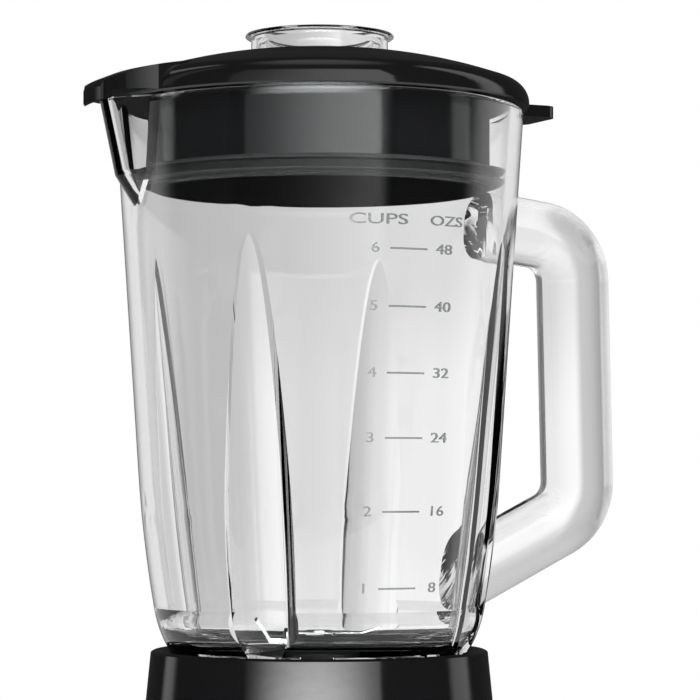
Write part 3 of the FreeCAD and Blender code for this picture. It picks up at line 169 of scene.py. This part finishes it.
def clear_surroundings(graph, azimuth, elevation):
    """What clear walls bend light from, and what they reflect."""
    from_back = graph.math("SUBTRACT", azimuth, math.radians(155))
    turns = graph.math("COSINE", graph.math("MULTIPLY", from_back, 4.0))
    steep = graph.ramp(graph.math("ABSOLUTE", elevation), math.radians(25), math.radians(65), 1.0, 0.35)
    dim, _ = studio_panel(graph, azimuth, elevation, 176.0, 21.0, 5.0, -80, 80)
    low = graph.ramp(elevation, math.radians(1.2), math.radians(4.0), 0.17, 0.0)
    dimming = graph.math("MULTIPLY", dim, graph.math("SUBTRACT", -0.26, low))
    level = total(graph, [graph.math("MULTIPLY", turns, 0.1), low, dimming, 0.78])
    bent = graph.math("MULTIPLY", level, steep)
    front, offset = studio_panel(graph, azimuth, elevation, FRONT_AZIMUTH, 43.0, 5.0, -35, 48)
    rise = graph.math("DIVIDE", graph.math("ADD", offset, math.radians(50)), math.radians(84), clamp=True)
    glow = graph.math("MULTIPLY", graph.math("POWER", rise, 3.0), 1.3)
    behind, _ = studio_panel(graph, azimuth, elevation, 155.0, 80.0, 8.0, -80, 80)
    notch, _ = studio_panel(graph, azimuth, elevation, 155.0, 14.0, 8.0, -80, 80)
    behind = graph.math("SUBTRACT", behind, notch, clamp=True)
    front = graph.math("MULTIPLY", front, glow)
    mirrored = total(graph, [front, graph.math("MULTIPLY", behind, 0.75), ROOM_DARK])
    return bent, mirrored


def make_world():
    """White surroundings for the eye, a dark room with soft panels for plastic and metal, pale for glass."""
    world = bpy.data.worlds.new("studio")
    world.use_nodes = True
    scene.world = world
    graph = Graph(world.node_tree)
    coordinates = graph.add("ShaderNodeTexCoord")
    split = graph.add("ShaderNodeSeparateXYZ")
    graph.link(coordinates.outputs["Generated"], split.inputs[0])
    azimuth = graph.math("ARCTAN2", split.outputs["X"], graph.math("MULTIPLY", split.outputs["Y"], -1.0))
    elevation = graph.math("ARCSINE", split.outputs["Z"])
    path = graph.add("ShaderNodeLightPath")
    room = opaque_surroundings(graph, azimuth, elevation, path)
    bent, mirrored = clear_surroundings(graph, azimuth, elevation)
    bounced = graph.math("MINIMUM", path.outputs["Glossy Depth"], 1.0)
    glass = blend_value(graph, bounced, bent, mirrored)
    through = graph.math("MAXIMUM", path.outputs["Is Transmission Ray"], path.outputs["Is Singular Ray"])
    indirect = blend_value(graph, through, room, glass)
    seen = blend_value(graph, path.outputs["Is Camera Ray"], indirect, BACKDROP_WHITE)
    background = graph.add("ShaderNodeBackground")
    background.inputs["Color"].default_value = (1.0, 1.0, 1.0, 1.0)
    graph.link(seen, background.inputs["Strength"])
    output = graph.add("ShaderNodeOutputWorld")
    graph.link(background.outputs[0], output.inputs["Surface"])


SOFTBOX_AZIMUTH = -28.0
SOFTBOX_STRENGTH = 10.8
SOFTBOX_WIDTH = 2.3
SOFTBOX_HEIGHT = 0.5
SOFTBOX_DISTANCE = 1.1
SOFTBOX_MIDDLE = Vector((0, 0, 0.16))


def softbox_glow():
    """Light that fades out towards the panel's edges.

    Rough reflections see the surroundings through it as well; sharp reflections see it black.
    """
    material = bpy.data.materials.new("softbox")
    material.use_nodes = True
    graph = Graph(material.node_tree)
    coordinates = graph.add("ShaderNodeTexCoord")
    split = graph.add("ShaderNodeSeparateXYZ")
    graph.link(coordinates.outputs["Generated"], split.inputs[0])
    waves = []
    for axis in ("X", "Y"):
        wave = graph.math("SINE", graph.math("MULTIPLY", split.outputs[axis], math.pi))
        waves.append(graph.math("MULTIPLY", wave, wave))
    path = graph.add("ShaderNodeLightPath")
    diffused = graph.math("SUBTRACT", 1.0, path.outputs["Is Singular Ray"])
    emission = graph.add("ShaderNodeEmission")
    level = graph.math("MULTIPLY", graph.math("MULTIPLY", waves[0], waves[1]), diffused)
    graph.link(graph.math("MULTIPLY", level, SOFTBOX_STRENGTH), emission.inputs["Strength"])
    behind = graph.add("ShaderNodeBsdfTransparent")
    graph.link(diffused, behind.inputs["Color"])
    both = graph.add("ShaderNodeAddShader")
    graph.link(emission.outputs[0], both.inputs[0])
    graph.link(behind.outputs[0], both.inputs[1])
    output = graph.add("ShaderNodeOutputMaterial")
    graph.link(both.outputs[0], output.inputs["Surface"])
    return material


def make_softbox():
    """Low soft panel in front, for the black plastic."""
    mesh = bpy.data.meshes.new("softbox")
    shape = bmesh.new()
    size = Matrix.Diagonal((SOFTBOX_WIDTH, SOFTBOX_HEIGHT, 1, 1))
    bmesh.ops.create_grid(shape, x_segments=1, y_segments=1, size=0.5, matrix=size)
    shape.to_mesh(mesh)
    shape.free()
    mesh.materials.append(softbox_glow())
    panel = bpy.data.objects.new("softbox", mesh)
    scene.collection.objects.link(panel)
    panel.location = ground_direction(math.radians(SOFTBOX_AZIMUTH)) * SOFTBOX_DISTANCE + SOFTBOX_MIDDLE
    aim = SOFTBOX_MIDDLE - panel.location
    panel.rotation_euler = aim.to_track_quat("-Z", "Y").to_euler()
    panel.visible_camera = False
    panel.visible_shadow = False
    panel.visible_transmission = False
    return panel


def spare_bare_metal(panel):
    """Keep the softbox off the metal controls, which would mirror it as plain white."""
    spared = bpy.data.collections.new("softbox_spares")
    for name in ("speed_dial", "pulse_button"):
        spared.objects.link(NODES[name])
    for entry in spared.collection_objects:
        entry.light_linking.link_state = "EXCLUDE"
    panel.light_linking.receiver_collection = spared


LAMP_TARGET = Vector((0, 0, 0.2))


def make_lamp(name, azimuth, distance, height, size, watts, colour):
    data = bpy.data.lights.new(name, "AREA")
    data.shape = "SQUARE"
    data.size = size
    data.energy = watts
    data.color = colour
    lamp = bpy.data.objects.new(name, data)
    scene.collection.objects.link(lamp)
    lamp.location = ground_direction(math.radians(azimuth)) * distance + Vector((0, 0, height))
    aim = LAMP_TARGET - lamp.location
    lamp.rotation_euler = aim.to_track_quat("-Z", "Y").to_euler()
    lamp.visible_glossy = False
    lamp.visible_transmission = False
    lamp.visible_camera = False


def make_lights():
    make_lamp("key_light", 10, 1.4, 1.3, 1.0, 22.0, (1.0, 0.99, 0.97))
    make_lamp("fill_light", -80, 1.5, 0.9, 1.2, 9.0, (0.97, 0.98, 1.0))
    make_lamp("rim_light", 150, 1.5, 1.2, 1.0, 10.0, (1.0, 1.0, 1.0))


# ---------------------------------------------------------------- materials

def new_material(name, colour, roughness, metallic=0.0, coat=0.0, ior=1.5):
    """A material with its main shader and its graph, for the functions below to detail."""
    material = bpy.data.materials.new(name)
    material.use_nodes = True
    graph = Graph(material.node_tree)
    shader = graph.add("ShaderNodeBsdfPrincipled")
    output = graph.add("ShaderNodeOutputMaterial")
    graph.link(shader.outputs[0], output.inputs["Surface"])
    shader.inputs["Base Color"].default_value = (*colour, 1.0)
    shader.inputs["Roughness"].default_value = roughness
    shader.inputs["Metallic"].default_value = metallic
    shader.inputs["Coat Weight"].default_value = coat
    shader.inputs["Coat Roughness"].default_value = 0.03
    shader.inputs["IOR"].default_value = ior
    return material, graph, shader, output


def object_coordinates(graph, scale=(1.0, 1.0, 1.0)):
    coordinates = graph.add("ShaderNodeTexCoord")
    mapping = graph.add("ShaderNodeMapping")
    mapping.inputs["Scale"].default_value = scale
    graph.link(coordinates.outputs["Object"], mapping.inputs["Vector"])
    return mapping.outputs[0]


def noise(graph, vector, scale, detail=3.0):
    node = graph.add("ShaderNodeTexNoise")
    node.inputs["Scale"].default_value = scale
    node.inputs["Detail"].default_value = detail
    graph.link(vector, node.inputs["Vector"])
    return node.outputs["Fac"]


def bump(graph, shader, height, depth, distance=MM):
    node = graph.add("ShaderNodeBump")
    node.inputs["Strength"].default_value = depth
    node.inputs["Distance"].default_value = distance
    graph.link(height, node.inputs["Height"])
    graph.link(node.outputs[0], shader.inputs["Normal"])


def vary_colour(graph, shader, factor, first, second):
    mix = graph.add("ShaderNodeMix", data_type="RGBA")
    graph.link(factor, mix.inputs["Factor"])
    mix.inputs["A"].default_value = (*first, 1.0)
    mix.inputs["B"].default_value = (*second, 1.0)
    graph.link(mix.outputs["Result"], shader.inputs["Base Color"])


def gloss_black():
    """Injection-moulded gloss plastic: black, with a faint orange peel and handling haze."""
    material, graph, shader, _ = new_material("black_gloss", (0.0045, 0.0045, 0.005), 0.1, coat=0.35)
    place = object_coordinates(graph)
    haze = noise(graph, place, 38.0, 5.0)
    graph.link(graph.ramp(haze, 0.3, 0.8, 0.07, 0.14), shader.inputs["Roughness"])
    specks = noise(graph, place, 900.0)
    vary_colour(graph, shader, specks, (0.0038, 0.0038, 0.0042), (0.0055, 0.0055, 0.006))
    bump(graph, shader, noise(graph, place, 260.0, 2.0), 0.018)
    return material


def satin_black(name="black_satin", tone=0.012, roughness=0.42):
    """Moulded plastic with a fine spark-eroded grain."""
    material, graph, shader, _ = new_material(name, (tone, tone, tone * 1.05), roughness)
    place = object_coordinates(graph)
    grain = noise(graph, place, 2600.0, 4.0)
    graph.link(graph.ramp(grain, 0.3, 0.7, roughness - 0.06, roughness + 0.08), shader.inputs["Roughness"])
    broad = noise(graph, place, 45.0)
    darker = (tone * 0.8, tone * 0.8, tone * 0.85)
    paler = (tone * 1.35, tone * 1.35, tone * 1.4)
    vary_colour(graph, shader, broad, darker, paler)
    bump(graph, shader, grain, 0.16, 0.25 * MM)
    return material


def rubber(name, tone):
    material, graph, shader, _ = new_material(name, (tone, tone, tone), 0.7)
    place = object_coordinates(graph)
    grain = noise(graph, place, 1500.0, 6.0)
    graph.link(graph.ramp(grain, 0.3, 0.7, 0.58, 0.8), shader.inputs["Roughness"])
    dust = noise(graph, place, 70.0, 4.0)
    vary_colour(graph, shader, dust, (tone * 0.75,) * 3, (tone * 1.7,) * 3)
    bump(graph, shader, grain, 0.25, 0.3 * MM)
    return material


def clear(name, tint, ior, waviness, wave_scale, density=0.0):
    """Clear glass or plastic: sharp refraction, faint pressed waviness.

    Shadow rays and rays reflected by rough surfaces pass straight through it.
    """
    material, graph, shader, output = new_material(name, tint, 0.0, ior=ior)
    shader.inputs["Transmission Weight"].default_value = 1.0
    place = object_coordinates(graph, (1.0, 1.0, 0.35))
    bump(graph, shader, noise(graph, place, wave_scale, 1.0), waviness)
    path = graph.add("ShaderNodeLightPath")
    open_shadow = graph.add("ShaderNodeBsdfTransparent")
    open_shadow.inputs["Color"].default_value = (0.88, 0.9, 0.9, 1.0)
    mix = graph.add("ShaderNodeMixShader")
    soft = graph.math("SUBTRACT", path.outputs["Is Glossy Ray"], path.outputs["Is Singular Ray"], clamp=True)
    straight = graph.math("MAXIMUM", soft, path.outputs["Is Shadow Ray"])
    graph.link(straight, mix.inputs["Fac"])
    graph.link(shader.outputs[0], mix.inputs[1])
    graph.link(open_shadow.outputs[0], mix.inputs[2])
    graph.link(mix.outputs[0], output.inputs["Surface"])
    if density:
        body = graph.add("ShaderNodeVolumeAbsorption")
        body.inputs["Color"].default_value = (0.88, 0.91, 0.9, 1.0)
        body.inputs["Density"].default_value = density
        graph.link(body.outputs[0], output.inputs["Volume"])
    return material


def frosted():
    """Raised glass marks, finely etched so that they can be read."""
    material, graph, shader, _ = new_material("frosted_glass", (0.62, 0.63, 0.63), 0.18)
    shader.inputs["Transmission Weight"].default_value = 1.0
    etching = noise(graph, object_coordinates(graph), 2400.0, 2.0)
    graph.link(graph.ramp(etching, 0.3, 0.7, 0.1, 0.28), shader.inputs["Roughness"])
    bump(graph, shader, etching, 0.1, 0.2 * MM)
    return material


def metal(name, colour, roughness, stretch, grain_scale, depth=0.05):
    """Metal with fine marks, drawn out along the axes where `stretch` is smallest."""
    material, graph, shader, _ = new_material(name, colour, roughness, metallic=1.0)
    place = object_coordinates(graph, stretch)
    marks = noise(graph, place, grain_scale, 4.0)
    graph.link(graph.ramp(marks, 0.25, 0.75, roughness * 0.7, roughness * 1.5), shader.inputs["Roughness"])
    darker = tuple(part * 0.86 for part in colour)
    vary_colour(graph, shader, marks, darker, colour)
    bump(graph, shader, marks, depth, 0.1 * MM)
    return material


def laminated():
    """Stack of thin electrical-steel sheets, 0.5 mm each."""
    material, graph, shader, _ = new_material("laminations", (0.2, 0.2, 0.21), 0.5, metallic=0.9)
    place = object_coordinates(graph)
    wave = graph.add("ShaderNodeTexWave", bands_direction="Z")
    wave.inputs["Scale"].default_value = 2.0 * math.pi / (20 * 0.5 * MM)
    wave.inputs["Distortion"].default_value = 0.2
    graph.link(place, wave.inputs["Vector"])
    vary_colour(graph, shader, wave.outputs["Fac"], (0.1, 0.1, 0.1), (0.3, 0.3, 0.31))
    bump(graph, shader, wave.outputs["Fac"], 0.5, 0.2 * MM)
    return material


def wound_copper():
    """Enamelled wire laid in rows, 0.6 mm thick."""
    material, graph, shader, _ = new_material("copper_wire", (0.62, 0.24, 0.1), 0.28, metallic=0.85, coat=0.4)
    place = object_coordinates(graph)
    wave = graph.add("ShaderNodeTexWave", bands_direction="Z")
    wave.inputs["Scale"].default_value = 2.0 * math.pi / (20 * 0.6 * MM)
    wave.inputs["Distortion"].default_value = 1.2
    graph.link(place, wave.inputs["Vector"])
    vary_colour(graph, shader, wave.outputs["Fac"], (0.35, 0.11, 0.04), (0.75, 0.33, 0.14))
    bump(graph, shader, wave.outputs["Fac"], 0.8, 0.3 * MM)
    return material


def printed_white():
    material, graph, shader, _ = new_material("print_white", (0.8, 0.8, 0.78), 0.5)
    wear = noise(graph, object_coordinates(graph), 700.0)
    vary_colour(graph, shader, wear, (0.7, 0.7, 0.68), (0.86, 0.86, 0.84))
    return material


FLOOR_RADIUS = 1.0
FLOOR_FADE_START = 0.25
FLOOR_FADE_END = FLOOR_RADIUS * 0.95


def floor_white():
    """Pale paper that fades out towards the floor's edge, so that no horizon shows."""
    material, graph, shader, _ = new_material("floor_paper", (0.86, 0.86, 0.86), 0.8)
    place = object_coordinates(graph)
    fibre = noise(graph, place, 120.0, 5.0)
    vary_colour(graph, shader, fibre, (0.845, 0.845, 0.845), (0.875, 0.875, 0.875))
    distance = graph.add("ShaderNodeVectorMath", operation="LENGTH")
    graph.link(place, distance.inputs[0])
    fade = graph.ramp(distance.outputs["Value"], FLOOR_FADE_START, FLOOR_FADE_END, 1.0, 0.0)
    graph.link(fade, shader.inputs["Alpha"])
    return material


MATERIALS = {
    "black_gloss": gloss_black(),
    "black_matte": satin_black(),
    "grey_plastic": satin_black("grey_plastic", 0.18, 0.5),
    "white_nylon": satin_black("white_nylon", 0.62, 0.4),
    "clear_glass": clear("clear_glass", (0.99, 0.99, 0.99), 1.5, 0.01, 45.0, 1.2),
    "frosted_glass": frosted(),
    "print_white": printed_white(),
    "clear_plastic": clear("clear_plastic", (0.985, 0.985, 0.985), 1.49, 0.012, 60.0),
    "rubber_black": rubber("rubber_black", 0.018),
    "steel": metal("steel", (0.5, 0.5, 0.49), 0.32, (1.0, 1.0, 8.0), 500.0),
    "blade_steel": metal("blade_steel", (0.72, 0.72, 0.73), 0.12, (1.0, 1.0, 1.0), 260.0, 0.03),
    "laminations": laminated(),
    "copper": wound_copper(),
    "bronze": metal("bronze", (0.45, 0.3, 0.15), 0.45, (1.0, 1.0, 1.0), 1800.0, 0.2),
    "brass": metal("brass", (0.72, 0.52, 0.22), 0.25, (1.0, 1.0, 1.0), 420.0),
    "carbon": satin_black("carbon", 0.02, 0.6),
    "chrome": metal("chrome", (0.56, 0.56, 0.57), 0.12, (1.0, 1.0, 1.0), 120.0, 0.01),
    "aluminium": metal("aluminium", (0.6, 0.6, 0.61), 0.42, (1.0, 1.0, 1.0), 900.0, 0.25),
}


def dress_nodes():
    """Give every carried-over node the detailed material of its slot."""
    for part in frame["record"]["subparts"]:
        mesh = NODES[part["node"]].data
        mesh.materials.clear()
        mesh.materials.append(MATERIALS[part["material_slot"]])


# ---------------------------------------------------------------- marks

WAIST = (0.0630, 0.212)
RIM = (0.0714, 0.339)
HEEL = (0.0574, 0.165)
MARK_HEIGHT = 0.45 * MM
MARK_GAP = 0.02 * MM
CUP_HEIGHTS = (0.1738, 0.1992, 0.2235, 0.2449, 0.2668, 0.2858)


def jar_radius(z):
    """Outside of the glass at a height between the heel and the rim."""
    low, high = (WAIST, RIM) if z > WAIST[1] else (HEEL, WAIST)
    return low[0] + (high[0] - low[0]) * (z - low[1]) / (high[1] - low[1])


def solid_text(text, height, stretch, depth):
    """A closed mesh of the text, centred on the origin, facing +Z, with its base at z = 0."""
    curve = bpy.data.curves.new("text", "FONT")
    curve.body = text
    curve.align_x, curve.align_y = "CENTER", "CENTER"
    curve.size = height / 0.7
    curve.extrude = depth / 2
    curve.resolution_u = 4
    holder = bpy.data.objects.new("text", curve)
    mesh = bpy.data.meshes.new_from_object(holder)
    bpy.data.objects.remove(holder)
    bpy.data.curves.remove(curve)
    mesh.transform(Matrix.Translation((0, 0, depth / 2)) @ Matrix.Diagonal((stretch, 1, 1, 1)))
    return mesh


def solid_bar(width, height, depth):
    mesh = bpy.data.meshes.new("bar")
    shape = bmesh.new()
    bmesh.ops.create_cube(shape, size=1.0, matrix=Matrix.Diagonal((width, height, depth, 1)))
    long_edges = [edge for edge in shape.edges if abs(edge.verts[0].co.x - edge.verts[1].co.x) > width / 2]
    bmesh.ops.subdivide_edges(shape, edges=long_edges, cuts=6)
    bmesh.ops.translate(shape, verts=shape.verts, vec=(0, 0, depth / 2))
    shape.to_mesh(mesh)
    shape.free()
    return mesh


def join_meshes(name, meshes):
    """One object from several meshes, its doubled points merged and its sides turned outwards."""
    shape = bmesh.new()
    for mesh in meshes:
        shape.from_mesh(mesh)
        bpy.data.meshes.remove(mesh)
    bmesh.ops.remove_doubles(shape, verts=shape.verts, dist=0.002 * MM)
    bmesh.ops.recalc_face_normals(shape, faces=shape.faces)
    joined = bpy.data.meshes.new(name)
    shape.to_mesh(joined)
    shape.free()
    piece = bpy.data.objects.new(name, joined)
    scene.collection.objects.link(piece)
    return piece


def wrap_on_jar(mesh, arc, z):
    """Bend a flat mark around the front of the jar; `arc` is its middle's distance along the wall."""
    turn = arc / jar_radius(z)
    for point in mesh.vertices:
        x, y, depth = point.co
        height = z + y
        radius = jar_radius(height) + MARK_GAP + depth
        angle = turn + x / jar_radius(z)
        point.co = (radius * math.sin(angle), -radius * math.cos(angle), height)
    return mesh


def make_scale():
    """Raised glass scale: cups on the left of each line and ounces on its right."""
    top = CUP_HEIGHTS[-1] + 0.0094
    marks = [wrap_on_jar(solid_text("CUPS", 3.5 * MM, 1.75, MARK_HEIGHT), -9.6 * MM, top),
             wrap_on_jar(solid_text("OZS", 3.3 * MM, 1.55, MARK_HEIGHT), 16.0 * MM, top)]
    for cup, z in enumerate(CUP_HEIGHTS, start=1):
        marks.append(wrap_on_jar(solid_text(str(cup), 3.3 * MM, 1.35, MARK_HEIGHT), -10.6 * MM, z))
        marks.append(wrap_on_jar(solid_bar(13.6 * MM, 0.6 * MM, MARK_HEIGHT), 1.4 * MM, z))
        marks.append(wrap_on_jar(solid_text(str(cup * 8), 3.3 * MM, 1.5, MARK_HEIGHT), 15.2 * MM, z))
    scale = join_meshes("jar_scale", marks)
    scale.data.materials.append(MATERIALS["frosted_glass"])
    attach(scale, "jar")


PRINT_HEIGHT = 0.12 * MM
PANEL_FACE = 1.82 * MM
GRIP_TOP = 14.82 * MM
SPEEDS = 6
SPEED_STEP = math.radians(30)
NUMBER_RING = 18.7 * MM
WORD_Y = -37.6 * MM
LINE_Y = 8.4 * MM


def on_panel(mesh, x, y, lift):
    """Carry a flat mark to a place on the panel's plane, `lift` above it, measured from the dial's centre."""
    joint = next(joint for joint in frame["joints"] if joint["name"] == "dial_turn")
    outward = -Vector(joint["axis"])
    across = Vector((1, 0, 0))
    up = outward.cross(across)
    place = Matrix((across, up, outward)).transposed().to_4x4()
    centre = Vector(joint["pos_m"])
    mesh.transform(Matrix.Translation((x, y, lift)))
    mesh.transform(Matrix.Translation(centre) @ place)
    return mesh


def make_panel_marks():
    """Speed numbers clockwise round the dial, the word under the button and a line on the dial's grip."""
    marks = []
    for speed in range(SPEEDS):
        angle = SPEED_STEP * speed
        x = NUMBER_RING * math.sin(angle)
        y = NUMBER_RING * math.cos(angle)
        number = solid_text(str(speed), 2.6 * MM, 1.1, PRINT_HEIGHT)
        marks.append(on_panel(number, x, y, PANEL_FACE))
    word = solid_text("PULSE", 1.9 * MM, 1.1, PRINT_HEIGHT)
    marks.append(on_panel(word, 0.0, WORD_Y, PANEL_FACE))
    numbers = join_meshes("panel_marks", marks)
    bar = solid_bar(1.1 * MM, 8.0 * MM, PRINT_HEIGHT)
    line = join_meshes("dial_line", [on_panel(bar, 0.0, LINE_Y, GRIP_TOP)])
    for piece, body in ((numbers, "base"), (line, "dial")):
        piece.data.materials.append(MATERIALS["print_white"])
        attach(piece, body)


# ---------------------------------------------------------------- stage

def make_floor():
    mesh = bpy.data.meshes.new("floor")
    shape = bmesh.new()
    bmesh.ops.create_circle(shape, cap_ends=True, radius=FLOOR_RADIUS, segments=96)
    shape.to_mesh(mesh)
    shape.free()
    floor = bpy.data.objects.new("floor", mesh)
    scene.collection.objects.link(floor)
    mesh.materials.append(floor_white())


# ---------------------------------------------------------------- making

scene.view_settings.view_transform = "Standard"
make_camera()
make_world()
spare_bare_metal(make_softbox())
make_lights()
make_floor()
dress_nodes()
make_scale()
make_panel_marks()
